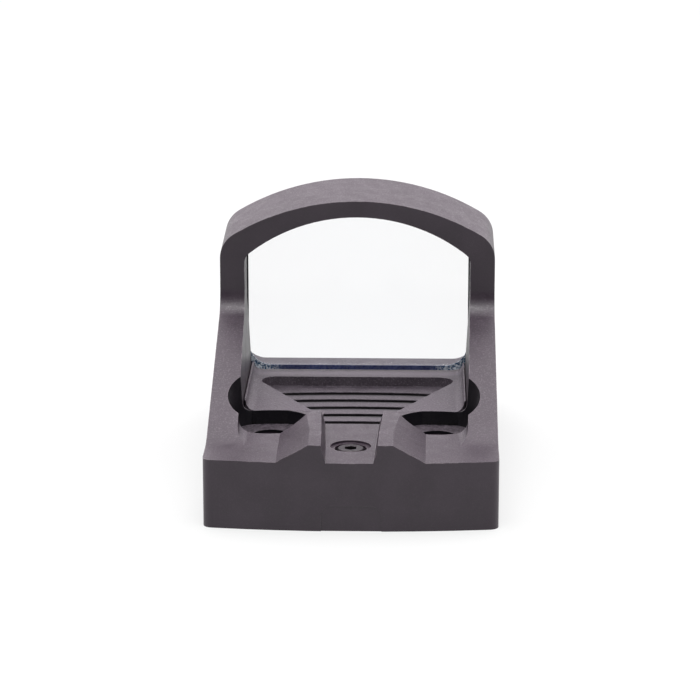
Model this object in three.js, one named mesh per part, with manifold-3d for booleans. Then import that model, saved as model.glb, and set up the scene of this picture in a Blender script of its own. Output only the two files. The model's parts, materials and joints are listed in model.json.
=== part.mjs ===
// Compact open reflex sight (red dot finder): an aluminium housing with a lens hood, a
// moulded deck in front of the eye notch, an adjustable light emitter under the notch,
// and a coin cell, circuit board and light sensor inside.
//
// Millimetres, +X right, +Y forward to the target, +Z up. The origin is the middle of
// the footprint, on the underside. Places along the sight are given as distances forward
// from the rearmost point of the housing, and station() turns them into Y.

import * as THREE from "three";
import { mergeVertices } from "three/addons/utils/BufferGeometryUtils.js";
import Module from "manifold-3d";

const wasm = await Module();
wasm.setup();

// ---------------------------------------------------------------- driving dimensions

const LENGTH = 41;
const HALF_WIDTH = 12;
const HEIGHT = 22.4;

const DECK = 5.74; // level of the rear deck, the notch floor and the moulded deck
const REAR_BULGE = 0.85; // how far the middle of the rear face stands behind its corners
const REAR_CORNER = 0.8;

const HOOD_REAR = 24.4;
const HOOD_FRONT = 32.5;
const HOOD_REAR_TOP = 22.0;
const HOOD_ARC_RADIUS = 21;
const HOOD_SHOULDER = 2.5;
const HOOD_FOOT_FILLET = 2.4;

const WALL_RISE_START = 5.4; // where the side walls begin to climb out of the deck
const WALL_TOP_AT_HOOD = 12.6;
const WALL_INNER_FOOT = 9.5;
const WALL_FOOT_FILLET = 0.9;

const WINDOW_HALF_WIDTH = 9.86;
const WINDOW_APEX = 20.58;
const WINDOW_ARC_RADIUS = 15.3;
const WINDOW_HIGH_CORNER = 1;
const WINDOW_LOW_CORNER = 2;

const LENS_REAR = 28.2;
const LENS_THICKNESS = 2.2;
const LENS_SEAT = 0.5; // how much wider the lens is than the window on each side
const LENS_GAP = 0.08;
const BOND_THICKNESS = 0.1;
const BOND_GAP = 0.02; // on either side of the bond, so that no two bodies share a face
const BOND_SHOWING = 0.12;
const BOND_FOOT = 0.5;

const NOSE_TOP = [[HOOD_FRONT + 1, 5.3], [40, 2.4], [LENGTH, 1.7]];

const MOUNT_X = 7;
const MOUNT_FROM_REAR = 11.9;
const MOUNT_HOLE_RADIUS = 1.6;
const POCKET_RADIUS = 3.6;
const POCKET_FLOOR = 4.55;

const EAR_TOP = 7.23;
const EAR_FRONT_TOP = 6.9;
const EAR_LEVEL_END = 4.3;
const EAR_FRONT = 11.3;
const NOTCH_X = -0.1; // the eye notch and the screw in it stand slightly left of centre
const NOTCH_HALF_FOOT = 1.92;
const NOTCH_HALF_TOP = 2.27;
const NOTCH_FLARE = [0.1, 0.35]; // at the level part's end, and at the ears' front
const EAR_OUTER_FOOT = 6.05;
const EAR_OUTER_SLOPE = 0.566;

const INSERT_HALF_WIDTH = 9.44;
const INSERT_REAR = 14.9;
const INSERT_BOTTOM = 4.2;
const INSERT_GAP = 0.06;
const COVE_RADIUS = 0.8; // the moulded deck curves up at its sides, beside the walls
const COVE_LIP = 0.14;
const TONGUE_REAR = 11.4;
const TONGUE_HALF_WIDTH = 2.6;
const WING_ROOT = 3.5; // where the pocket's edge starts on each wing of the moulded deck
const WING_BULGE = 0.45;

const CHANNEL_FLOOR = 4.88;
const CHANNEL_REAR = [3.6, 15.2];
const CHANNEL_SIDE = [8.28, 24.1];
const CHANNEL_FRONT = 26.1;
const GROOVE_FIRST = 14.85;
const GROOVE_PITCH = 2.26;
const GROOVE_COUNT = 5;
const GROOVE_WIDTH = 0.55;
const GROOVE_FLOOR = 4.6;
const GROOVE_BEVEL = 0.6;
const GROOVE_BOW_RADIUS = 60;
const GROOVE_REACH = 11;

const CHIP_SPOT = [7, 18, 1.2]; // X, place from the rear, half width
const CAPACITOR_SPOT = [-7.2, 17.7, 1, 0.7]; // X, place from the rear, half width, half depth
const PART_TOP = 4.62; // top of both parts on the board
const PART_ROOM = 0.2;

const CELL_FROM_REAR = 23.3;
const CELL_RADIUS = 10;
const CELL_BOTTOM = 0.1;
const CELL_TOP = 3.3;
const CELL_POCKET_RADIUS = 10.2;
const CELL_POCKET_TOP = 3.53;

const SEAL_INNER = 10.75;
const SEAL_OUTER = 11.25;
const SEAL_GROOVE_DEPTH = 0.55;

const BOARD_HALF_WIDTH = 8.4;
const BOARD_REAR = 15.3;
const BOARD_FRONT = 27.4;
const BOARD_BOTTOM = 3.55;
const BOARD_TOP = 3.92;
const BOARD_LEDGE = 3.5;

const CAVITY_HALF_WIDTH = 3.0;
const CAVITY_REAR = 2.9;
const CAVITY_FRONT = 10.9;
const CAVITY_TOP = 5.25;
const COVER_HALF_WIDTH = 5;
const COVER_REAR = 1.5;
const COVER_FRONT = 11.4;
const COVER_TOP = 0.7;
const COVER_SCREWS = [[-4.1, 2.6], [4.1, 9.0]];

const ELEVATION_FROM_REAR = 4.9;
const ELEVATION_RECESS_RADIUS = 1.68;
const ELEVATION_RECESS_DEPTH = 0.2;
const ELEVATION_BORE_RADIUS = 1.33; // room for the head to move with the windage slide
const ELEVATION_HEAD_RADIUS = 1.14;
const ELEVATION_HEAD_TOP = 5.6;
const WINDAGE_FROM_REAR = 7.2;
const WINDAGE_Z = 3.9;
const SLIDE_BOTTOM = 3.15;
const SLIDE_TOP = 4.95;

const RELIEF_SIDES = [-2.4, 2.5];
const RELIEF_TOP = 2.15;
const RELIEF_DEPTH = 0.13;
const RELIEF_TOP_DEPTH = 0.06;

const PIN_RECESSES = [[8.6, 4.4], [9.6, 37.2]];
const PIN_RADIUS = 0.9;
const PIN_DEPTH = 1.2;

const SENSOR_FROM_REAR = 36;
const LEAD_HALF_WIDTH = 0.7;
const LEAD_THICKNESS = 0.12;

const SPRING_FROM_REAR = 7.6;
const SOCKET_FLATS = 0.95; // across the hexagon in both adjusting screws
const SOCKET_LENGTH = 0.8;

// ---------------------------------------------------------------- shape helpers

const station = (fromRear) => fromRear - LENGTH / 2;

// Points of an arc about (cx, cy), in degrees, counter-clockwise when `to` is above `from`.
function arc(cx, cy, radius, from, to, steps) {
  return Array.from({ length: steps + 1 }, (_, i) => {
    const angle = THREE.MathUtils.degToRad(from + ((to - from) * i) / steps);
    return [cx + radius * Math.cos(angle), cy + radius * Math.sin(angle)];
  });
}

// Rounds the corners of an outline whose points are [x, y] or [x, y, corner radius].
function rounded(points, steps = 5) {
  return points.flatMap((point, i) => {
    const [x, y, radius = 0] = point;
    if (radius === 0) return [[x, y]];
    const corner = new THREE.Vector2(x, y);
    const before = points[(i + points.length - 1) % points.length];
    const after = points[(i + 1) % points.length];
    const back = new THREE.Vector2(before[0], before[1]).sub(corner).normalize();
    const ahead = new THREE.Vector2(after[0], after[1]).sub(corner).normalize();
    const half = Math.acos(THREE.MathUtils.clamp(back.dot(ahead), -1, 1)) / 2;
    const centre = back.clone().add(ahead).normalize().multiplyScalar(radius / Math.sin(half)).add(corner);
    const start = back.multiplyScalar(radius / Math.tan(half)).add(corner).sub(centre);
    const end = ahead.multiplyScalar(radius / Math.tan(half)).add(corner).sub(centre);
    const sweep = Math.atan2(start.cross(end), start.dot(end));
    return Array.from({ length: steps + 1 }, (_, k) => {
      const turned = start.clone().rotateAround(new THREE.Vector2(), (sweep * k) / steps);
      return [centre.x + turned.x, centre.y + turned.y];
    });
  });
}

function solidOf(geometry) {
  const bare = geometry.index ? geometry.toNonIndexed() : geometry.clone();
  for (const name of Object.keys(bare.attributes)) {
    if (name !== "position") bare.deleteAttribute(name);
  }
  const merged = mergeVertices(bare, 1e-4);
  const vertProperties = new Float32Array(merged.attributes.position.array);
  const triVerts = new Uint32Array(merged.index.array);
  return new wasm.Manifold(new wasm.Mesh({ numProp: 3, vertProperties, triVerts }));
}

function geometryOf(solid) {
  const { vertProperties, triVerts } = solid.getMesh();
  const geometry = new THREE.BufferGeometry();
  geometry.setAttribute("position", new THREE.BufferAttribute(new Float32Array(vertProperties), 3));
  geometry.setIndex(new THREE.BufferAttribute(new Uint32Array(triVerts), 1));
  geometry.computeVertexNormals();
  return geometry;
}

function extruded(outline, from, to) {
  const shape = new THREE.Shape(outline.map(([x, y]) => new THREE.Vector2(x, y)));
  const geometry = new THREE.ExtrudeGeometry(shape, { depth: to - from, bevelEnabled: false });
  return geometry.translate(0, 0, from);
}

// A plan outline (x, y) standing from one height to another.
const planPrism = (outline, from, to) => solidOf(extruded(outline, from, to));

// A side outline (y, z) running along X.
function sidePrism(outline, from, to) {
  return solidOf(extruded(outline, from, to).rotateZ(Math.PI / 2).rotateY(Math.PI / 2));
}

// A rear outline (x, z) running along Y.
function rearPrism(outline, from, to) {
  return solidOf(extruded(outline, -to, -from).rotateX(Math.PI / 2));
}

function block(x0, x1, fromRear0, fromRear1, z0, z1) {
  const geometry = new THREE.BoxGeometry(x1 - x0, fromRear1 - fromRear0, z1 - z0);
  return solidOf(geometry.translate((x0 + x1) / 2, station((fromRear0 + fromRear1) / 2), (z0 + z1) / 2));
}

function post(radius, x, fromRear, z0, z1, segments = 32) {
  const geometry = new THREE.CylinderGeometry(radius, radius, z1 - z0, segments).rotateX(Math.PI / 2);
  return solidOf(geometry.translate(x, station(fromRear), (z0 + z1) / 2));
}

// A round bar along X, used for the windage screw and its bores.
function crossBar(radius, x0, x1, segments = 24) {
  const geometry = new THREE.CylinderGeometry(radius, radius, x1 - x0, segments).rotateZ(Math.PI / 2);
  return solidOf(geometry.translate((x0 + x1) / 2, station(WINDAGE_FROM_REAR), WINDAGE_Z));
}

// A closed skin over cross-sections that have the same number of points. Each one runs
// clockwise as seen looking from the first section towards the last.
function loft(sections) {
  const count = sections[0].length;
  const positions = sections.flat(2);
  const index = [];
  for (let s = 0; s + 1 < sections.length; s += 1) {
    for (let i = 0; i < count; i += 1) {
      const a = s * count + i;
      const b = s * count + ((i + 1) % count);
      index.push(a, b, a + count, b, b + count, a + count);
    }
  }
  const last = (sections.length - 1) * count;
  for (let i = 1; i + 1 < count; i += 1) {
    index.push(0, i + 1, i);
    index.push(last, last + i, last + i + 1);
  }
  const geometry = new THREE.BufferGeometry();
  geometry.setAttribute("position", new THREE.Float32BufferAttribute(positions, 3));
  geometry.setIndex(index);
  return solidOf(geometry);
}

const joined = (solids) => solids.reduce((whole, solid) => whole.add(solid));
const cut = (solid, tools) => tools.reduce((rest, tool) => rest.subtract(tool), solid);

// ---------------------------------------------------------------- housing

function housingPlan() {
  const bulgeRadius = (HALF_WIDTH ** 2 + REAR_BULGE ** 2) / (2 * REAR_BULGE);
  const half = THREE.MathUtils.radToDeg(Math.asin(HALF_WIDTH / bulgeRadius));
  const rear = arc(0, station(bulgeRadius), bulgeRadius, 270 - half, 270 + half, 24);
  rear[0].push(REAR_CORNER);
  rear.at(-1).push(REAR_CORNER);
  const nose = [[HALF_WIDTH, station(34), 6], [10.2, station(LENGTH), 3.2]];
  const mirrored = nose.map(([x, y, radius]) => [-x, y, radius]).reverse();
  return rounded([...rear, ...nose, ...mirrored], 10);
}

function housingSide() {
  const outline = [
    [0, 0],
    [LENGTH, 0],
    ...NOSE_TOP.slice().reverse(),
    [HOOD_FRONT, DECK],
    [HOOD_FRONT, HEIGHT],
    [HOOD_REAR, HOOD_REAR_TOP],
    [HOOD_REAR, WALL_TOP_AT_HOOD, HOOD_FOOT_FILLET],
    [WALL_RISE_START, DECK, 6],
    [0, DECK],
  ];
  return rounded(outline.map(([fromRear, z, radius]) => [station(fromRear), z, radius]), 12);
}

// The hood seen from behind: straight sides, round shoulders and a shallow arched top.
function hoodOutline(apex) {
  const centre = apex - HOOD_ARC_RADIUS;
  const spread = THREE.MathUtils.radToDeg(Math.asin(HALF_WIDTH / HOOD_ARC_RADIUS));
  const arch = arc(0, centre, HOOD_ARC_RADIUS, 90 - spread, 90 + spread, 32);
  // The points beside the shoulders are left out, which gives their rounding a straight to end on.
  const top = [arch[0], ...arch.slice(2, -2), arch.at(-1)];
  top[0].push(HOOD_SHOULDER);
  top.at(-1).push(HOOD_SHOULDER);
  return rounded([[-HALF_WIDTH, -1], [HALF_WIDTH, -1], ...top], 10);
}

// The arched head of the window, grown outwards by `grow` for the lens and its seat.
function windowArch(grow) {
  const half = WINDOW_HALF_WIDTH + grow;
  const radius = WINDOW_ARC_RADIUS + grow;
  const spread = THREE.MathUtils.radToDeg(Math.asin(half / radius));
  const top = arc(0, WINDOW_APEX - WINDOW_ARC_RADIUS, radius, 90 - spread, 90 + spread, 28);
  top[0].push(WINDOW_HIGH_CORNER);
  top.at(-1).push(WINDOW_HIGH_CORNER);
  return top;
}

function lensOutline(grow, bottom) {
  const half = WINDOW_HALF_WIDTH + grow;
  const foot = [[-half, bottom, WINDOW_LOW_CORNER], [half, bottom, WINDOW_LOW_CORNER]];
  return rounded([...foot, ...windowArch(grow)], 10);
}

// The space between the side walls: nearly upright walls with a small fillet at the foot,
// closed at the top by the points of `head`.
function valleyOutline(head) {
  return rounded([
    [-WINDOW_HALF_WIDTH, WALL_TOP_AT_HOOD],
    [-WALL_INNER_FOOT, DECK, WALL_FOOT_FILLET],
    [WALL_INNER_FOOT, DECK, WALL_FOOT_FILLET],
    [WINDOW_HALF_WIDTH, WALL_TOP_AT_HOOD],
    ...head,
  ]);
}

// One ear beside the eye notch, level at the rear and falling slightly to its front end.
function ear(side) {
  const base = DECK - 0.3;
  const centre = side * NOTCH_X;
  const section = (fromRear, flare, top) => [
    [centre + NOTCH_HALF_FOOT + flare, base],
    [centre + NOTCH_HALF_FOOT + flare, DECK],
    [centre + NOTCH_HALF_TOP + flare, top],
    [EAR_OUTER_FOOT - (top - DECK) / EAR_OUTER_SLOPE, top],
    [EAR_OUTER_FOOT, DECK],
    [EAR_OUTER_FOOT, base],
  ].map(([x, z]) => [side * x, station(fromRear), z]);
  const sections = [
    section(-1, 0, EAR_TOP),
    section(EAR_LEVEL_END, NOTCH_FLARE[0], EAR_TOP),
    section(EAR_FRONT, NOTCH_FLARE[1], EAR_FRONT_TOP),
  ];
  return loft(side < 0 ? sections.map((points) => points.slice().reverse()) : sections);
}

function mountPocket(side) {
  return post(POCKET_RADIUS, side * MOUNT_X, MOUNT_FROM_REAR, POCKET_FLOOR, HEIGHT, 56);
}

function mountHole(side) {
  return post(MOUNT_HOLE_RADIUS, side * MOUNT_X, MOUNT_FROM_REAR, -1, POCKET_FLOOR + 1, 36);
}

// Rear edge of the moulded deck's wing: a shallow arc across the front of the pocket.
function wingRear(side, gap) {
  const steps = 6;
  const tip = INSERT_HALF_WIDTH + gap;
  return Array.from({ length: steps + 1 }, (_, i) => {
    const t = i / steps;
    const lift = WING_BULGE * 4 * t * (1 - t);
    return [side * (WING_ROOT + (tip - WING_ROOT) * t), station(INSERT_REAR - gap + lift)];
  });
}

// Plan outline of the moulded deck with its tongue, grown by `gap` for its recess.
function insertOutline(gap, front) {
  const half = INSERT_HALF_WIDTH + gap;
  const tongue = TONGUE_HALF_WIDTH + gap;
  const right = wingRear(1, gap);
  right.at(-1).push(gap > 0 ? 0 : 0.8);
  const left = right.map(([x, y, radius]) => [-x, y, radius]).reverse();
  return rounded([
    [-tongue, station(TONGUE_REAR - gap)],
    [tongue, station(TONGUE_REAR - gap)],
    [tongue, station(INSERT_REAR - gap)],
    ...right,
    [half, station(front)],
    [-half, station(front)],
    ...left,
    [-tongue, station(INSERT_REAR - gap)],
  ], 4);
}

function housing() {
  const shell = planPrism(housingPlan(), 0, HEIGHT + 1)
    .intersect(sidePrism(housingSide(), -HALF_WIDTH - 1, HALF_WIDTH + 1))
    .intersect(hoodEnvelope());
  const openTop = [[WINDOW_HALF_WIDTH, HEIGHT + 1], [-WINDOW_HALF_WIDTH, HEIGHT + 1]];
  const valley = rearPrism(valleyOutline(openTop), station(-2), station(HOOD_REAR));
  const tunnel = rearPrism(
    valleyOutline(windowArch(0)), station(HOOD_REAR - 1), station(LENS_REAR + 0.1),
  );
  const lensSeat = rearPrism(
    lensOutline(LENS_SEAT + LENS_GAP, DECK), station(LENS_REAR), station(HOOD_FRONT + 2),
  );
  const ears = [ear(-1), ear(1)].map((solid) => solid.intersect(planPrism(housingPlan(), 0, HEIGHT)));
  const outer = joined([cut(shell, [valley, tunnel, lensSeat]), ...ears]);
  return cut(outer, [...topCuts(), ...baseCuts(), ...mechanismCuts(), rearRelief()]);
}

// The hood's top rises towards the front, so its envelope is lofted from two arches.
function hoodEnvelope() {
  const arch = (apex, fromRear) => hoodOutline(apex).map(([x, z]) => [x, station(fromRear), z]).reverse();
  const rise = (HEIGHT - HOOD_REAR_TOP) / (HOOD_FRONT - HOOD_REAR);
  const apexAt = (fromRear) => HOOD_REAR_TOP + rise * (fromRear - HOOD_REAR);
  return loft([arch(apexAt(-2), -2), arch(apexAt(LENGTH + 2), LENGTH + 2)]);
}

function topCuts() {
  const insertPlan = insertOutline(INSERT_GAP, LENS_REAR + INSERT_GAP);
  const insertRecess = planPrism(insertPlan, INSERT_BOTTOM - 0.05, DECK + WALL_FOOT_FILLET);
  const boardHalf = BOARD_HALF_WIDTH + 0.1;
  const boardRecess = block(
    -boardHalf, boardHalf, BOARD_REAR - 0.1, BOARD_FRONT + 0.1, BOARD_LEDGE, INSERT_BOTTOM + 0.1,
  );
  const sensorSlot = block(-1, 1, BOARD_FRONT, 34.75, CELL_POCKET_TOP - 0.1, 3.9);
  const sensorPocket = block(-1.3, 1.3, 34.4, 37.1, 2.4, 3.9);
  const sensorOpening = block(-1.3, 1.3, 34.9, 37.1, 2.4, 7);
  return [
    mountPocket(-1), mountPocket(1), mountHole(-1), mountHole(1),
    insertRecess, boardRecess, sensorSlot, sensorPocket, sensorOpening,
  ];
}

function baseCuts() {
  const cellPocket = post(CELL_POCKET_RADIUS, 0, CELL_FROM_REAR, -1, CELL_POCKET_TOP, 72);
  const sealGroove = post(SEAL_OUTER + 0.1, 0, CELL_FROM_REAR, -1, SEAL_GROOVE_DEPTH, 72)
    .subtract(post(SEAL_INNER - 0.1, 0, CELL_FROM_REAR, -2, 2, 72));
  const contactSlot = block(-1.6, 1.6, 12.65, 15.4, 0.75, CELL_POCKET_TOP + 0.1);
  const pins = PIN_RECESSES.flatMap(([x, fromRear]) =>
    [-x, x].map((at) => post(PIN_RADIUS, at, fromRear, -1, PIN_DEPTH, 24)));
  return [cellPocket, sealGroove, contactSlot, ...pins];
}

function mechanismCuts() {
  const cavity = block(-CAVITY_HALF_WIDTH, CAVITY_HALF_WIDTH, CAVITY_REAR, CAVITY_FRONT, -1, CAVITY_TOP);
  const coverRecess = planPrism(coverOutline(0.06), -1, COVER_TOP + 0.03);
  const screwHoles = COVER_SCREWS.map(([x, fromRear]) => post(0.55, x, fromRear, -1, 2.7, 20));
  const recessFloor = DECK - ELEVATION_RECESS_DEPTH;
  const elevationRecess = post(
    ELEVATION_RECESS_RADIUS, NOTCH_X, ELEVATION_FROM_REAR, recessFloor, DECK + 1, 56,
  );
  const elevationBore = post(ELEVATION_BORE_RADIUS, NOTCH_X, ELEVATION_FROM_REAR, 4, DECK, 48);
  const windageBore = crossBar(0.55, CAVITY_HALF_WIDTH - 1, HALF_WIDTH + 1);
  const windageCounterbore = crossBar(1.4, 10.6, HALF_WIDTH + 1, 32);
  const springBore = crossBar(0.95, -5.7, -CAVITY_HALF_WIDTH + 1);
  const emitterPort = block(-1.2, 1.2, CAVITY_FRONT - 0.5, TONGUE_REAR + 0.2, 4.35, CAVITY_TOP);
  const leadSlot = block(-1, 1, CAVITY_FRONT - 0.5, BOARD_REAR, 3.5, 4.1);
  return [
    cavity, coverRecess, ...screwHoles, elevationRecess, elevationBore,
    windageBore, windageCounterbore, springBore, emitterPort, leadSlot,
  ];
}

function coverOutline(gap) {
  const half = COVER_HALF_WIDTH + gap;
  const rear = station(COVER_REAR - gap);
  const front = station(COVER_FRONT + gap);
  return rounded([[-half, rear, 1], [half, rear, 1], [half, front, 1], [-half, front, 1]], 4);
}

// A shallow relief at the foot of the rear face, deepest at the bottom edge.
function rearRelief() {
  const wedge = sidePrism([
    [station(-1), -1],
    [station(RELIEF_DEPTH), -1],
    [station(RELIEF_DEPTH), 0],
    [station(RELIEF_TOP_DEPTH), RELIEF_TOP],
    [station(-1), RELIEF_TOP],
  ], RELIEF_SIDES[0], RELIEF_SIDES[1]);
  const outline = [
    [RELIEF_SIDES[0], -1],
    [RELIEF_SIDES[1], -1],
    [RELIEF_SIDES[1], RELIEF_TOP, 0.9],
    [RELIEF_SIDES[0], RELIEF_TOP, 0.9],
  ];
  return wedge.intersect(rearPrism(rounded(outline, 8), station(-2), station(2)));
}

// ---------------------------------------------------------------- moulded deck

function channelOutline() {
  const [sideX, sideY] = CHANNEL_SIDE;
  const [rearX, rearY] = CHANNEL_REAR;
  const tongue = TONGUE_HALF_WIDTH + 1;
  return rounded([
    [-tongue, station(TONGUE_REAR - 1)],
    [tongue, station(TONGUE_REAR - 1)],
    [tongue, station(INSERT_REAR - 0.2)],
    [rearX, station(rearY)],
    [sideX, station(sideY)],
    [sideX + 0.55, station(CHANNEL_FRONT), 1.2],
    [-sideX - 0.55, station(CHANNEL_FRONT), 1.2],
    [-sideX, station(sideY)],
    [-rearX, station(rearY)],
    [-tongue, station(INSERT_REAR - 0.2)],
  ], 4);
}

// One groove across the channel, bowed forward in the middle, with a bevel on its rear lip.
function groove(fromRear) {
  const spread = THREE.MathUtils.radToDeg(Math.asin(GROOVE_REACH / GROOVE_BOW_RADIUS));
  const band = (from, to) => {
    const centre = station(fromRear - GROOVE_BOW_RADIUS);
    const outer = arc(0, centre, GROOVE_BOW_RADIUS + to, 90 - spread, 90 + spread, 10);
    const inner = arc(0, centre, GROOVE_BOW_RADIUS + from, 90 + spread, 90 - spread, 10);
    return [...outer, ...inner];
  };
  const half = GROOVE_WIDTH / 2;
  const slot = planPrism(band(-half, half), GROOVE_FLOOR, DECK);
  const step = planPrism(band(-half - GROOVE_BEVEL, half), (GROOVE_FLOOR + CHANNEL_FLOOR) / 2 + 0.06, DECK);
  return slot.add(step);
}

function deckInsert() {
  const body = planPrism(insertOutline(0, LENS_REAR), INSERT_BOTTOM, DECK + COVE_RADIUS);
  const coveWall = INSERT_HALF_WIDTH - COVE_LIP;
  const coved = rounded([
    [-coveWall, DECK + 2],
    [-coveWall, DECK, COVE_RADIUS],
    [coveWall, DECK, COVE_RADIUS],
    [coveWall, DECK + 2],
  ], 8);
  const overDeck = rearPrism(coved, station(TONGUE_REAR - 1), station(LENS_REAR + 1));
  const channel = planPrism(channelOutline(), CHANNEL_FLOOR, DECK + 1);
  const grooves = Array.from({ length: GROOVE_COUNT }, (_, i) => groove(GROOVE_FIRST + i * GROOVE_PITCH));
  const channelZone = planPrism(channelOutline(), INSERT_BOTTOM, DECK + 1);
  const ramp = sidePrism([
    [station(TONGUE_REAR - 1), 4.2],
    [station(14), CHANNEL_FLOOR],
    [station(14), DECK],
    [station(TONGUE_REAR - 1), DECK],
  ], -4, 4);
  const partPockets = [chipBlock, capacitorBlock].map((shape) => shape(PART_ROOM, INSERT_BOTTOM - 1));
  return cut(body, [
    overDeck, channel, joined(grooves).intersect(channelZone), ramp, ...partPockets,
  ]);
}

// ---------------------------------------------------------------- optics

function lens() {
  const outline = lensOutline(LENS_SEAT, DECK + LENS_GAP);
  const rear = LENS_REAR + BOND_THICKNESS + 2 * BOND_GAP;
  return rearPrism(outline, station(rear), station(LENS_REAR + LENS_THICKNESS));
}

// The bond between the lens rim and its seat, which shows as a dark band at the window's foot.
function lensAdhesive() {
  const rear = station(LENS_REAR + BOND_GAP);
  const front = rear + BOND_THICKNESS;
  const outside = rearPrism(lensOutline(LENS_SEAT, DECK + LENS_GAP), rear, front);
  const inside = rearPrism(lensOutline(-BOND_SHOWING, DECK + BOND_FOOT), rear - 1, front + 1);
  return outside.subtract(inside);
}

const emitterWindow = () => block(-1.1, 1.1, CAVITY_FRONT + 0.08, CAVITY_FRONT + 0.3, 4.42, 5.18);

function ledEmitter() {
  return block(-0.4, 0.4, 10.22, 10.5, 4.4, 4.85);
}

// ---------------------------------------------------------------- adjusting mechanism

function elevationCarriage() {
  const plate = block(-1.7, 1.7, 3.4, 10.2, 1.2, 2.7);
  const upright = block(-1, 1, 9.4, 10.2, 2.6, 4.9);
  const bore = post(0.62, NOTCH_X, ELEVATION_FROM_REAR, 0, 4);
  const clipRelief = post(1.25, NOTCH_X, ELEVATION_FROM_REAR, 2.2, 4);
  const springSeat = post(1.0, 0, SPRING_FROM_REAR, 1.7, 4);
  return cut(plate.add(upright), [bore, clipRelief, springSeat]);
}

function windageSlide() {
  const bridge = block(-2.6, 2.6, 3.2, 8.9, SLIDE_BOTTOM, SLIDE_TOP);
  const legs = [-1, 1].map((side) => {
    const [near, far] = [side * 1.85, side * 2.6].sort((a, b) => a - b);
    return block(near, far, 3.2, 8.9, 1.1, SLIDE_BOTTOM + 0.2);
  });
  const screwBore = post(0.62, NOTCH_X, ELEVATION_FROM_REAR, 0, 6);
  const threadBore = crossBar(0.52, 0.5, 4);
  const springSeat = crossBar(0.85, -4, -2.2);
  return cut(joined([bridge, ...legs]), [screwBore, threadBore, springSeat]);
}

function hexSocket(acrossFlats = SOCKET_FLATS, length = SOCKET_LENGTH) {
  const radius = acrossFlats / Math.sqrt(3);
  return new THREE.CylinderGeometry(radius, radius, length, 6);
}

// A profile of [radius, height] points turned about the upright axis.
function turned(profile, segments) {
  const points = profile.map(([radius, z]) => new THREE.Vector2(radius, z));
  return new THREE.LatheGeometry(points, segments).rotateX(Math.PI / 2);
}

function elevationScrew() {
  const y = station(ELEVATION_FROM_REAR);
  const headFoot = ELEVATION_HEAD_TOP - 0.57;
  const profile = [
    [0, 0.95], [0.35, 0.95], [0.5, 1.15], [0.5, 2.88], [0.42, 2.9], [0.42, 3.08], [0.5, 3.1], [0.5, headFoot],
    [ELEVATION_HEAD_RADIUS, headFoot],
    [ELEVATION_HEAD_RADIUS, ELEVATION_HEAD_TOP - 0.12],
    [ELEVATION_HEAD_RADIUS - 0.12, ELEVATION_HEAD_TOP],
    [0, ELEVATION_HEAD_TOP],
  ];
  const body = turned(profile, 32);
  const socket = hexSocket().rotateX(Math.PI / 2).translate(NOTCH_X, y, ELEVATION_HEAD_TOP);
  return solidOf(body.translate(NOTCH_X, y, 0)).subtract(solidOf(socket));
}

const washer = (outer, inner, x, fromRear, z0, z1) =>
  post(outer, x, fromRear, z0, z1).subtract(post(inner, x, fromRear, z0 - 1, z1 + 1));

const elevationClip = () => washer(1.05, 0.54, NOTCH_X, ELEVATION_FROM_REAR, 2.91, 3.07);

function windageScrew() {
  const end = HALF_WIDTH - 0.65;
  const socket = hexSocket().rotateZ(Math.PI / 2).translate(end, station(WINDAGE_FROM_REAR), WINDAGE_Z);
  const shank = crossBar(0.42, 0.95, end - 0.5);
  const head = crossBar(1.15, end - 0.65, end, 32);
  return shank.add(head).subtract(solidOf(socket));
}

function windageClip() {
  return crossBar(1.32, 11.45, 11.7, 32).subtract(crossBar(0.75, 11, 12.5, 24));
}

class Helix extends THREE.Curve {
  constructor(radius, height, turns) {
    super();
    Object.assign(this, { radius, height, turns });
  }

  getPoint(t) {
    const angle = 2 * Math.PI * this.turns * t;
    return new THREE.Vector3(this.radius * Math.cos(angle), this.radius * Math.sin(angle), this.height * t);
  }
}

function coilSpring(radius, wire, height, turns) {
  const section = new THREE.Shape(arc(0, 0, wire / 2, 0, 300, 5).map(([x, y]) => new THREE.Vector2(x, y)));
  return new THREE.ExtrudeGeometry(section, {
    steps: turns * 12,
    bevelEnabled: false,
    extrudePath: new Helix(radius, height, turns),
  });
}

function elevationSpring() {
  return solidOf(coilSpring(0.72, 0.2, 1.16, 3).translate(0, station(SPRING_FROM_REAR), 1.84));
}

function windageSpring() {
  const coil = coilSpring(0.62, 0.2, 2.4, 5).rotateY(Math.PI / 2);
  return solidOf(coil.translate(-5.5, station(WINDAGE_FROM_REAR), WINDAGE_Z));
}

function mechanismCover() {
  const plate = planPrism(coverOutline(0), 0, COVER_TOP);
  const holes = COVER_SCREWS.flatMap(([x, fromRear]) => [
    post(0.5, x, fromRear, -1, 2, 20),
    post(0.85, x, fromRear, -1, 0.35, 24),
  ]);
  return cut(plate, holes);
}

function coverScrew([x, fromRear]) {
  const head = post(0.78, x, fromRear, 0.02, 0.3, 24);
  const shank = post(0.4, x, fromRear, 0.25, 2.4, 20);
  const socket = hexSocket(0.7, 0.3).rotateX(Math.PI / 2).translate(x, station(fromRear), 0.05);
  return head.add(shank).subtract(solidOf(socket));
}

// ---------------------------------------------------------------- power and electronics

function coinCell() {
  const profile = [
    [0, CELL_BOTTOM], [CELL_RADIUS - 0.4, CELL_BOTTOM], [CELL_RADIUS, 0.5], [CELL_RADIUS, 2.75],
    [9.7, 2.95], [8.9, 2.95], [8.6, CELL_TOP], [0, CELL_TOP],
  ];
  return solidOf(turned(profile, 64).translate(0, station(CELL_FROM_REAR), 0));
}

// A sprung strip under the board that presses on the top of the cell.
function negativeContact() {
  const blade = block(-2.2, 2.2, 20.5, 26.1, 3.38, 3.48);
  const slots = [-1, 1].map((side) => block(side * 1.1 - 0.3, side * 1.1 + 0.3, 21.4, 27, 3, 4));
  return cut(blade, slots);
}

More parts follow.
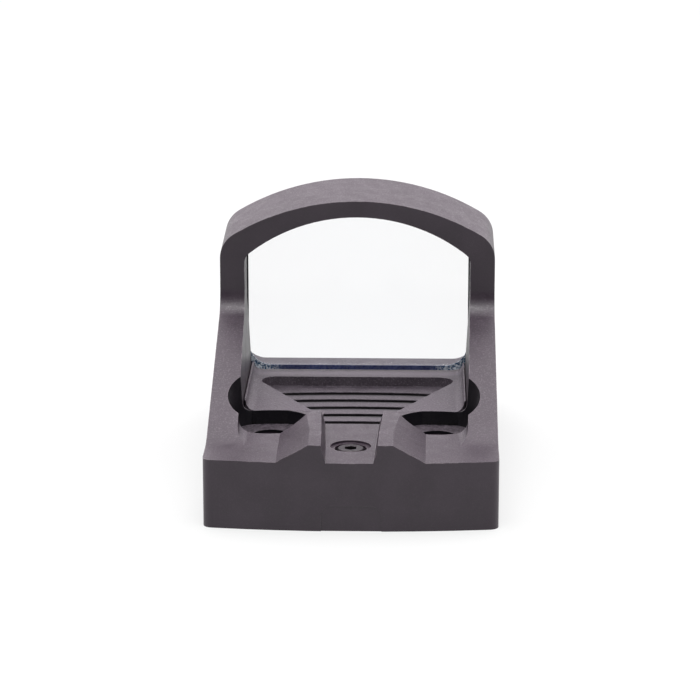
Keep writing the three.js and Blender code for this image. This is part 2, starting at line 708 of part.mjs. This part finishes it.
// An L-shaped strip between the side of the cell and the board.
function positiveContact() {
  return block(-1.4, 1.4, 12.78, 12.9, 0.9, 3.48).add(block(-1.4, 1.4, 12.78, 16.6, 3.38, 3.48));
}

function circuitBoard() {
  const board = block(-BOARD_HALF_WIDTH, BOARD_HALF_WIDTH, BOARD_REAR, BOARD_FRONT, BOARD_BOTTOM, BOARD_TOP);
  const locatingHoles = [-1, 1].map((side) => post(0.6, side * 7, 25.8, 3, 5, 20));
  return cut(board, locatingHoles);
}

// The two parts on the board; with room round them they also give their pockets in the deck.
function chipBlock(room = 0, bottom = BOARD_TOP + 0.02) {
  const [x, fromRear, half] = CHIP_SPOT;
  const reach = half + room;
  return block(x - reach, x + reach, fromRear - reach, fromRear + reach, bottom, PART_TOP + room);
}

function capacitorBlock(room = 0, bottom = BOARD_TOP + 0.02) {
  const [x, fromRear, halfX, halfY] = CAPACITOR_SPOT;
  const [reachX, reachY] = [halfX + room, halfY + room];
  return block(x - reachX, x + reachX, fromRear - reachY, fromRear + reachY, bottom, PART_TOP + room);
}

// A flexible lead that runs level from fromRear0 to fromRear1, and turns down to `foot` at `fold`.
function flexLead(fromRear0, fromRear1, bottom, fold, foot) {
  const top = bottom + LEAD_THICKNESS;
  const level = block(-LEAD_HALF_WIDTH, LEAD_HALF_WIDTH, fromRear0, fromRear1, bottom, top);
  const drop = block(
    -LEAD_HALF_WIDTH, LEAD_HALF_WIDTH, fold, fold + LEAD_THICKNESS, foot, bottom + LEAD_THICKNESS / 2,
  );
  return level.add(drop);
}

const emitterLead = () => flexLead(10.62, BOARD_REAR - 0.05, 3.66, 10.62, 3.05);
const sensorLead = () => flexLead(BOARD_FRONT + 0.05, 34.75, 3.62, 34.63, 2.46);

const lightSensor = () => block(-0.8, 0.8, 35.3, 36.7, 2.44, 2.9);

// A clear window set just below the sloping top of the nose.
function sensorWindow() {
  const [[startY, startZ], [endY, endZ]] = NOSE_TOP;
  const topAt = (fromRear) => startZ + ((endZ - startZ) * (fromRear - startY)) / (endY - startY) - 0.12;
  const [rear, front] = [SENSOR_FROM_REAR - 1.03, SENSOR_FROM_REAR + 1.03];
  const outline = [[rear, 3.0], [front, 3.0], [front, topAt(front)], [rear, topAt(rear)]];
  return sidePrism(outline.map(([fromRear, z]) => [station(fromRear), z]), -1.22, 1.22);
}

const baseSeal = () => washer(SEAL_OUTER, SEAL_INNER, 0, CELL_FROM_REAR, 0.03, 0.5);

// ---------------------------------------------------------------- materials and assembly

function finish(color, roughness, metalness, opacity = 1) {
  return new THREE.MeshStandardMaterial({
    color, roughness, metalness, opacity, transparent: opacity < 1,
  });
}

const ANODISED = finish(0x3c383d, 0.6, 0.6);
const MOULDED = finish(0x37343a, 0.8, 0);
const GLASS = finish(0x9fc4d6, 0.03, 0, 0.35);
const GLUE = finish(0xc9ccd2, 0.5, 0);
const STEEL = finish(0x5a5a60, 0.35, 1);
const BRIGHT_STEEL = finish(0xb9bbc0, 0.3, 1);
const BRASS = finish(0xb08d4c, 0.4, 1);
const BOARD = finish(0x1f5138, 0.6, 0);
const CHIP = finish(0x17171a, 0.5, 0);
const LED = finish(0xc23a30, 0.3, 0);
const AMBER_FILM = finish(0xa8712c, 0.5, 0);
const RUBBER = finish(0x1b1b1d, 0.9, 0);

const sight = new THREE.Group();

function place(name, solid, material) {
  const mesh = new THREE.Mesh(geometryOf(solid), material);
  mesh.name = name;
  sight.add(mesh);
}

place("housing", housing(), ANODISED);
place("deck_insert", deckInsert(), MOULDED);
place("lens", lens(), GLASS);
place("lens_adhesive", lensAdhesive(), GLUE);
place("emitter_window", emitterWindow(), GLASS);
place("led_emitter", ledEmitter(), LED);
place("elevation_carriage", elevationCarriage(), BRASS);
place("windage_slide", windageSlide(), BRIGHT_STEEL);
place("elevation_screw", elevationScrew(), STEEL);
place("elevation_screw_clip", elevationClip(), BRIGHT_STEEL);
place("elevation_spring", elevationSpring(), BRIGHT_STEEL);
place("windage_screw", windageScrew(), STEEL);
place("windage_screw_clip", windageClip(), BRIGHT_STEEL);
place("windage_spring", windageSpring(), BRIGHT_STEEL);
place("mechanism_cover", mechanismCover(), ANODISED);
COVER_SCREWS.forEach((spot, i) => place(`cover_screw_${i + 1}`, coverScrew(spot), STEEL));
place("coin_cell", coinCell(), BRIGHT_STEEL);
place("negative_contact", negativeContact(), BRASS);
place("positive_contact", positiveContact(), BRASS);
place("circuit_board", circuitBoard(), BOARD);
place("driver_chip", chipBlock(), CHIP);
place("capacitor", capacitorBlock(), BRASS);
place("emitter_lead", emitterLead(), AMBER_FILM);
place("light_sensor", lightSensor(), CHIP);
place("sensor_window", sensorWindow(), GLASS);
place("sensor_lead", sensorLead(), AMBER_FILM);
place("base_seal", baseSeal(), RUBBER);

export default sight;
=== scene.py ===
"""Looks of a compact open reflex sight, or red dot finder, built around its CAD frame.

The CAD nodes keep their places. Each gets edges softened by modifiers and a procedural
material. Lengths are given in millimetres, and MM turns them into Blender's metres.
"""

import json
import math

import bpy
from mathutils import Matrix, Vector


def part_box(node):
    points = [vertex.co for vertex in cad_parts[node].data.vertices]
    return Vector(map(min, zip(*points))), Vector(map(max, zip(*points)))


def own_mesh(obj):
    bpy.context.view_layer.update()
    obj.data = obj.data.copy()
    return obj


MM = 0.001

# The mounting pockets, whose walls get painted shade. Below the deck the moulded deck's edge
# closes them further out.
POCKET_X = 7.0
POCKET_FROM_REAR = 11.9
POCKET_REACH_LOW = 4.3
POCKET_REACH_HIGH = 3.66
POCKET_REACH_STEP = (5.68, 5.74)  # the heights between which the reach changes
POCKET_BRIM = 9.0
POCKET_DEPTH = 4.3
POCKET_FLOOR_LIMIT = 4.8

GROOVE_SHADE = (4.76, 4.9)  # painted shade: the channel's grooves are coloured dark below these heights
LENS_FOOT = (5.4, 7.2)  # along Y, where light is painted on the moulded deck before the lens
RELIEF_ZONE = (2.4, 3.4)  # below these heights the edges are hardly rubbed
BOND_CORNER = (6.2, 8.8)  # away from the middle, where the bond turns from painted dark blue to frothy
BOND_TOP = (7.6, 9.0)  # above these heights the bond is painted dark for the shade of its seat

EDGE_WIDTH = {
    "housing": 0.16,
    "deck_insert": 0.12,
    "lens": 0.1,
    "mechanism_cover": 0.1,
    "coin_cell": 0.12,
}
SMALL_EDGE = 0.03
EDGE_SEGMENTS = 3
EDGE_ANGLE = 20  # degrees; flatter bends are smoothed and not rounded

FLOOR_SIZE = (6.0, 3.0)  # metres: width, and reach ahead of and behind the sight
FLOOR_GLOW = 0.64  # the floor is a lit white table, so shadows on it stay faint
FLOOR_WHITE = (0.2, 0.211, 0.203, 1)
WORLD_TINT = (1, 0.94, 0.985, 1)
WORLD_AHEAD = (-0.7, 0.35, 0.1, 1.38)  # along Y: from, to, strength at from, strength at to
WORLD_ABOVE = (0.5, 1.0, 0.0, 2.0)  # the same along Z, added to it

SOFTBOX_AT = (0, -120, 330)
SOFTBOX_AIM = (0, 0, 10)
SOFTBOX_SIZE = (200, 120)
SOFTBOX_POWER = 0.5  # watts

CAMERA_AT = (5.76, -252.41, 77.36)
CAMERA_AZIMUTH = 1.43  # degrees to the right of straight behind
CAMERA_ELEVATION = 15
CAMERA_LENS = 155.3
CAMERA_SENSOR = 36

# ------------------------------------------------------------------ frame

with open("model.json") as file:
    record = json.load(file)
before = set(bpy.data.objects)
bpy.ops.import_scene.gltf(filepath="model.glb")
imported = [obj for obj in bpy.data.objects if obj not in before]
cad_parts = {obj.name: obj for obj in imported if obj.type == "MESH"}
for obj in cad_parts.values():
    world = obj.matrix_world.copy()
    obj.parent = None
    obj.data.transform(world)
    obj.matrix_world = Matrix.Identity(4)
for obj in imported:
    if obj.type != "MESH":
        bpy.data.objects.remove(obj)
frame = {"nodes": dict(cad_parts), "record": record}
NODES = frame["nodes"]
SLOT_OF = {part["node"]: part["material_slot"] for part in frame["record"]["subparts"]}
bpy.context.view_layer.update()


# ------------------------------------------------------------------ material helpers


class Material:
    """A node material whose helpers return output sockets, so that expressions nest."""

    def __init__(self, name, **uniform):
        self.material = bpy.data.materials.new(name)
        self.material.use_nodes = True
        self.tree = self.material.node_tree
        self.shader = self.tree.nodes["Principled BSDF"]
        for socket, value in uniform.items():
            self.shader.inputs[socket.replace("_", " ")].default_value = value
        self.place = self.node("ShaderNodeTexCoord").outputs["Object"]

    def node(self, kind, inputs=None, **settings):
        node = self.tree.nodes.new(kind)
        for key, value in settings.items():
            setattr(node, key, value)
        for key, value in (inputs or {}).items():
            self.connect(node.inputs[key], value)
        return node

    def connect(self, socket, value):
        if isinstance(value, bpy.types.NodeSocket):
            self.tree.links.new(value, socket)
        else:
            socket.default_value = value

    def output(self, **links):
        for key, value in links.items():
            self.connect(self.shader.inputs[key.replace("_", " ")], value)

    def math(self, operation, a, b=0.0):
        node = self.node("ShaderNodeMath", {0: a, 1: b}, operation=operation)
        return node.outputs[0]

    def product(self, *factors):
        result = factors[0]
        for factor in factors[1:]:
            result = self.math("MULTIPLY", result, factor)
        return result

    def ramp(self, value, low, high, to_low=0.0, to_high=1.0):
        """value from low..high is eased over to_low..to_high and held at the ends."""
        spread = {"From Min": low, "From Max": high, "To Min": to_low, "To Max": to_high}
        node = self.node(
            "ShaderNodeMapRange",
            {"Value": value, **spread},
            interpolation_type="SMOOTHSTEP",
        )
        return node.outputs[0]

    def noise(self, cell, detail=3.0, roughness=0.55):
        """Noise from 0 to 1 whose lumps are about `cell` metres across."""
        node = self.node(
            "ShaderNodeTexNoise",
            {
                "Vector": self.place,
                "Scale": 1 / cell,
                "Detail": detail,
                "Roughness": roughness,
            },
        )
        return node.outputs[0]

    def pits(self, cell):
        """Distance from the nearest of many points that are about `cell` metres apart."""
        node = self.node("ShaderNodeTexVoronoi", {"Vector": self.place, "Scale": 1 / cell})
        return node.outputs["Distance"]

    def mix(self, factor, a, b):
        node = self.node("ShaderNodeMix", data_type="RGBA")
        for socket, value in ((0, factor), (6, a), (7, b)):
            self.connect(node.inputs[socket], value)
        return node.outputs[2]

    def axis(self, name):
        split = self.node("ShaderNodeSeparateXYZ", {0: self.place})
        return split.outputs[name]

    def upward(self):
        """How far the surface faces up, from -1 to 1."""
        geometry = self.node("ShaderNodeNewGeometry")
        split = self.node("ShaderNodeSeparateXYZ", {0: geometry.outputs["Normal"]})
        return split.outputs["Z"]

    def edges(self, radius):
        """1 along edges, 0 on flats, from how far a rounded normal departs."""
        geometry = self.node("ShaderNodeNewGeometry")
        soft = self.node("ShaderNodeBevel", {"Radius": radius}, samples=6)
        dot = self.node(
            "ShaderNodeVectorMath",
            {0: soft.outputs[0], 1: geometry.outputs["Normal"]},
            operation="DOT_PRODUCT",
        )
        departure = self.math("SUBTRACT", 1.0, dot.outputs["Value"])
        return self.ramp(departure, 0.02, 0.12)

    def bump(self, layers):
        """layers is a list of (height socket, depth in metres)."""
        normal = None
        for height, depth in layers:
            inputs = {"Height": height, "Distance": depth, "Strength": 1.0}
            if normal is not None:
                inputs["Normal"] = normal
            normal = self.node("ShaderNodeBump", inputs).outputs[0]
        self.output(Normal=normal)


def grey(red, green, blue):
    """Linear colour from 0 to 255 display values."""

    def linear(value):
        value /= 255
        return value / 12.92 if value <= 0.04045 else ((value + 0.055) / 1.055) ** 2.4

    return (linear(red), linear(green), linear(blue), 1.0)


# ------------------------------------------------------------------ materials


def anodised_black():
    """Blasted and hard anodised aluminium: painted glints as pale specks, mostly on faces turned
    up, faint cloudiness, rubbed edges, painted shade in the pockets.
    """
    m = Material("anodised_black", IOR=1.5)
    cloud = m.noise(2.6 * MM, detail=4)
    blast = m.noise(0.13 * MM, detail=2, roughness=0.7)
    base = m.mix(m.ramp(cloud, 0.35, 0.68), grey(43, 34, 43), grey(50, 41, 50))
    # Painted glints: pale specks in the colour, weighted towards faces turned up to the light.
    upward = m.ramp(m.upward(), 0.1, 0.8, 0.12, 1.0)
    painted_glints = m.product(m.ramp(blast, 0.5, 0.68), upward)
    base = m.mix(m.product(painted_glints, 0.45), base, grey(96, 88, 95))
    patches = m.ramp(m.noise(0.9 * MM, 5), 0.42, 0.66)
    low, high = RELIEF_ZONE
    exposed = m.ramp(m.axis("Z"), low * MM, high * MM, 0.15, 1.0)
    rubbed = m.product(m.edges(0.13 * MM), patches, exposed)
    base = m.mix(m.product(rubbed, 0.5), base, grey(150, 140, 145))
    rough = m.ramp(m.noise(1.3 * MM, 4), 0.3, 0.7, 0.38, 0.46)
    rough = m.math("SUBTRACT", rough, m.product(m.math("MAXIMUM", rubbed, painted_glints), 0.1))
    m.output(Base_Color=pocket_shade_and_scratches(m, base), Roughness=rough)
    m.bump([(blast, 0.009 * MM), (m.noise(0.45 * MM, 3), 0.006 * MM)])
    return m.material


def pocket_shade_and_scratches(m, base):
    """In the mounting pockets the walls get painted shade, nearly black, and the floor is
    scratched.
    """
    low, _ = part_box("housing")
    height = m.axis("Z")
    from_axis = m.math("SUBTRACT", m.math("ABSOLUTE", m.axis("X")), POCKET_X * MM)
    along = m.math("SUBTRACT", m.axis("Y"), low.y + POCKET_FROM_REAR * MM)
    squares = m.math("ADD", m.math("POWER", from_axis, 2.0), m.math("POWER", along, 2.0))
    step_low, step_high = POCKET_REACH_STEP
    reach = m.ramp(
        height, step_low * MM, step_high * MM, POCKET_REACH_LOW * MM, POCKET_REACH_HIGH * MM
    )
    inside = m.product(
        m.math("LESS_THAN", m.math("SQRT", squares), reach),
        m.math("LESS_THAN", height, POCKET_BRIM * MM),
        m.math("GREATER_THAN", height, POCKET_DEPTH * MM),
    )
    level = m.ramp(m.upward(), 0.4, 0.6)
    low_down = m.math("LESS_THAN", height, POCKET_FLOOR_LIMIT * MM)
    deck = m.product(level, m.math("SUBTRACT", 1.0, low_down))
    scratches = m.ramp(m.noise(0.2 * MM, 4), 0.35, 0.65)
    floor = m.mix(scratches, grey(34, 30, 35), grey(88, 82, 88))
    # Painted shade: the pocket walls are coloured nearly black; the floor keeps its scratches.
    painted_shade_and_scratches = m.mix(m.product(level, low_down), grey(7, 6, 12), floor)
    return m.mix(m.product(inside, m.math("SUBTRACT", 1.0, deck)), base, painted_shade_and_scratches)


def moulded_black():
    """Grained black moulding: pebbled skin, pale where it is rounded over, painted light on the
    deck before the lens, and painted shade in the grooves and pockets.
    """
    m = Material("moulded_black", IOR=1.5)
    cloud = m.noise(1.8 * MM, detail=4)
    pebble = m.pits(0.2 * MM)
    fine = m.noise(0.14 * MM, detail=3, roughness=0.7)
    base = m.mix(m.ramp(cloud, 0.35, 0.7), grey(64, 58, 65), grey(76, 70, 77))
    base = m.mix(m.ramp(fine, 0.5, 0.8), base, grey(140, 130, 140))
    edge = m.product(m.edges(0.14 * MM), m.ramp(m.noise(0.8 * MM, 4), 0.35, 0.65))
    base = m.mix(m.product(edge, 0.4), base, grey(160, 152, 160))
    start, end = LENS_FOOT
    # Painted light: from LENS_FOOT forward the deck is coloured paler.
    painted_light_before_lens = m.ramp(m.axis("Y"), start * MM, end * MM, 0.0, 0.55)
    base = m.mix(painted_light_before_lens, base, grey(150, 144, 150))
    # Painted shade: below GROOVE_SHADE the grooves are coloured nearly black.
    low, high = GROOVE_SHADE
    painted_dark = m.ramp(m.axis("Z"), low * MM, high * MM, 1.0, 0.0)
    base = m.mix(painted_dark, pocket_shade_and_scratches(m, base), grey(6, 5, 8))
    m.output(Base_Color=base, Roughness=m.ramp(cloud, 0.3, 0.7, 0.42, 0.52))
    m.bump([(pebble, 0.02 * MM), (fine, 0.014 * MM)])
    return m.material


def coated_glass():
    """Clear glass with a thin pale blue coat. Almost all light passes straight through."""
    m = Material(
        "coated_glass", Roughness=0.02, IOR=1.6, Alpha=0.07, Coat_Weight=0.8, Coat_IOR=1.8
    )
    cloud = m.ramp(m.noise(5 * MM, 2), 0.3, 0.7)
    m.output(Base_Color=m.mix(cloud, grey(186, 212, 236), grey(200, 222, 242)))
    return m.material


def adhesive():
    """A bond painted dark blue across the middle, standing for the dark reflection at the lens's
    lower edge, with pale bubbles crowded into the window's lower corners. Above BOND_TOP it is
    painted dark for shade.
    """
    m = Material("adhesive", IOR=1.5)
    start, end = BOND_CORNER
    outward = m.ramp(m.math("ABSOLUTE", m.axis("X")), start * MM, end * MM)
    low, high = BOND_TOP
    low_down = m.ramp(m.axis("Z"), low * MM, high * MM, 1.0, 0.0)
    bubbles = m.ramp(m.noise(0.17 * MM, 3, 0.7), 0.42, 0.6)
    # Painted reflection: the middle of the band is coloured dark blue.
    painted_dark = m.mix(m.ramp(m.noise(1.5 * MM, 3), 0.3, 0.7), grey(48, 56, 92), grey(62, 72, 112))
    frothy = m.mix(bubbles, grey(58, 92, 122), grey(226, 238, 244))
    band = m.mix(outward, painted_dark, frothy)
    # Painted shade: above BOND_TOP the bond is coloured dark grey.
    m.output(Base_Color=m.mix(low_down, grey(22, 22, 34), band))
    m.output(Roughness=m.ramp(bubbles, 0.0, 1.0, 0.22, 0.5))
    m.bump([(bubbles, 0.01 * MM)])
    return m.material


def plain(name, colour, roughness, metallic=0.0, wear=None):
    """A worked metal, moulding or film: cloudy colour, fine grain, and wear on its edges."""
    m = Material(name, Metallic=metallic)
    cloud = m.noise(1.1 * MM, detail=4)
    fine = m.noise(0.12 * MM, detail=3, roughness=0.65)
    dark = tuple(0.72 * c for c in colour[:3]) + (1.0,)
    base = m.mix(m.ramp(cloud, 0.3, 0.7), dark, colour)
    if wear:
        worn = m.product(m.edges(0.08 * MM), m.ramp(m.noise(0.4 * MM, 4), 0.38, 0.6))
        base = m.mix(m.product(worn, 0.8), base, wear)
    m.output(Base_Color=base)
    m.output(Roughness=m.ramp(fine, 0.3, 0.7, roughness - 0.07, roughness + 0.07))
    m.bump([(fine, 0.004 * MM)])
    return m.material


MATERIALS = {
    "anodised_black": anodised_black(),
    "moulded_black": moulded_black(),
    "coated_glass": coated_glass(),
    "adhesive": adhesive(),
    "clear_window": coated_glass(),
    "emitter_red": plain("emitter_red", grey(168, 40, 34), 0.2),
    "machined_brass": plain("machined_brass", grey(176, 141, 76), 0.35, 1.0),
    "bright_steel": plain("bright_steel", grey(185, 187, 192), 0.3, 1.0),
    "black_steel": plain("black_steel", grey(66, 62, 65), 0.42, 1.0, wear=grey(170, 166, 168)),
    "cell_steel": plain("cell_steel", grey(196, 197, 200), 0.28, 1.0),
    "board_green": plain("board_green", grey(31, 81, 56), 0.45),
    "chip_black": plain("chip_black", grey(26, 26, 29), 0.5),
    "capacitor_tan": plain("capacitor_tan", grey(165, 138, 99), 0.5),
    "amber_film": plain("amber_film", grey(168, 113, 44), 0.3),
    "seal_rubber": plain("seal_rubber", grey(30, 30, 32), 0.8),
}


# ------------------------------------------------------------------ mesh refinement


def soften(node, width):
    """Rounds a CAD node's edges with modifiers; its own mesh isn't changed."""
    weld = node.modifiers.new("weld", "WELD")
    weld.merge_threshold = 0.0005 * MM
    flat = node.modifiers.new("flat", "DECIMATE")
    flat.decimate_type = "DISSOLVE"
    flat.angle_limit = math.radians(1.0)
    bevel = node.modifiers.new("bevel", "BEVEL")
    bevel.width = width
    bevel.segments = EDGE_SEGMENTS
    bevel.limit_method = "ANGLE"
    bevel.angle_limit = math.radians(EDGE_ANGLE)
    bevel.miter_outer = "MITER_ARC"
    bevel.use_clamp_overlap = True
    for polygon in node.data.polygons:
        polygon.use_smooth = True
    smooth = node.modifiers.new("normals", "WEIGHTED_NORMAL")
    smooth.keep_sharp = False
    smooth.weight = 100


for name, node in NODES.items():
    node.data.materials.clear()
    node.data.materials.append(MATERIALS[SLOT_OF[name]])
    soften(node, EDGE_WIDTH.get(name, SMALL_EDGE) * MM)

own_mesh(NODES["elevation_spring"])


# ------------------------------------------------------------------ stage, light and camera


def studio_floor(width, depth):
    """One flat sheet at the foot of the sight, large enough that its edge is never seen."""
    mesh = bpy.data.meshes.new("floor")
    half = width / 2
    corners = [(-half, -depth, 0), (half, -depth, 0), (half, depth, 0), (-half, depth, 0)]
    mesh.from_pydata(corners, [], [(0, 1, 2, 3)])
    floor = bpy.data.objects.new("floor", mesh)
    bpy.context.scene.collection.objects.link(floor)
    glow = {"Emission_Color": (1, 1, 1, 1), "Emission_Strength": FLOOR_GLOW}
    m = Material("studio_floor", Roughness=0.9, Specular_IOR_Level=0.1, **glow)
    m.output(Base_Color=FLOOR_WHITE)
    mesh.materials.append(m.material)


def world_strength(tree):
    """How bright the world is in each direction: the sum of one ramp along Y and one along Z."""
    place = tree.nodes.new("ShaderNodeTexCoord")
    split = tree.nodes.new("ShaderNodeSeparateXYZ")
    tree.links.new(place.outputs["Generated"], split.inputs[0])
    total = tree.nodes.new("ShaderNodeMath")
    for i, (axis, shade) in enumerate((("Y", WORLD_AHEAD), ("Z", WORLD_ABOVE))):
        ramp = tree.nodes.new("ShaderNodeMapRange")
        ramp.interpolation_type = "SMOOTHSTEP"
        for key, value in zip(("From Min", "From Max", "To Min", "To Max"), shade):
            ramp.inputs[key].default_value = value
        tree.links.new(split.outputs[axis], ramp.inputs["Value"])
        tree.links.new(ramp.outputs[0], total.inputs[i])
    return total.outputs[0]


def studio_world():
    """Plain white to the camera. As a light it is brightest ahead of the sight and above it."""
    world = bpy.data.worlds.new("studio")
    bpy.context.scene.world = world
    world.use_nodes = True
    tree = world.node_tree
    lit = tree.nodes["Background"]
    tree.links.new(world_strength(tree), lit.inputs["Strength"])
    lit.inputs["Color"].default_value = WORLD_TINT
    seen = tree.nodes.new("ShaderNodeBackground")
    seen.inputs["Color"].default_value = grey(254, 254, 254)
    path = tree.nodes.new("ShaderNodeLightPath")
    choose = tree.nodes.new("ShaderNodeMixShader")
    tree.links.new(path.outputs["Is Camera Ray"], choose.inputs[0])
    tree.links.new(lit.outputs[0], choose.inputs[1])
    tree.links.new(seen.outputs[0], choose.inputs[2])
    tree.links.new(choose.outputs[0], tree.nodes["World Output"].inputs["Surface"])


def softbox():
    """A soft light above and behind the sight, which picks out the fillets under the hood."""
    data = bpy.data.lights.new("softbox", "AREA")
    data.shape = "RECTANGLE"
    data.size, data.size_y = (side * MM for side in SOFTBOX_SIZE)
    data.energy = SOFTBOX_POWER
    light = bpy.data.objects.new("softbox", data)
    light.location = Vector(SOFTBOX_AT) * MM
    direction = Vector(SOFTBOX_AIM) - Vector(SOFTBOX_AT)
    light.rotation_euler = direction.to_track_quat("-Z", "Y").to_euler()
    bpy.context.scene.collection.objects.link(light)


def camera():
    """Behind the sight, 15 degrees above it and a little to its right."""
    azimuth, elevation = math.radians(CAMERA_AZIMUTH), math.radians(CAMERA_ELEVATION)
    back = Vector((
        math.sin(azimuth) * math.cos(elevation),
        -math.cos(azimuth) * math.cos(elevation),
        math.sin(elevation),
    ))
    right = Vector((math.cos(azimuth), math.sin(azimuth), 0))
    up = back.cross(right)
    rotation = Matrix((right, up, back)).transposed()
    data = bpy.data.cameras.new("camera")
    data.lens = CAMERA_LENS
    data.sensor_width = CAMERA_SENSOR
    data.clip_start = 0.01
    holder = bpy.data.objects.new("camera", data)
    holder.matrix_world = Matrix.Translation(Vector(CAMERA_AT) * MM) @ rotation.to_4x4()
    bpy.context.scene.collection.objects.link(holder)
    bpy.context.scene.camera = holder


studio_floor(*FLOOR_SIZE)
studio_world()
softbox()
camera()
bpy.context.scene.view_settings.view_transform = "Standard"
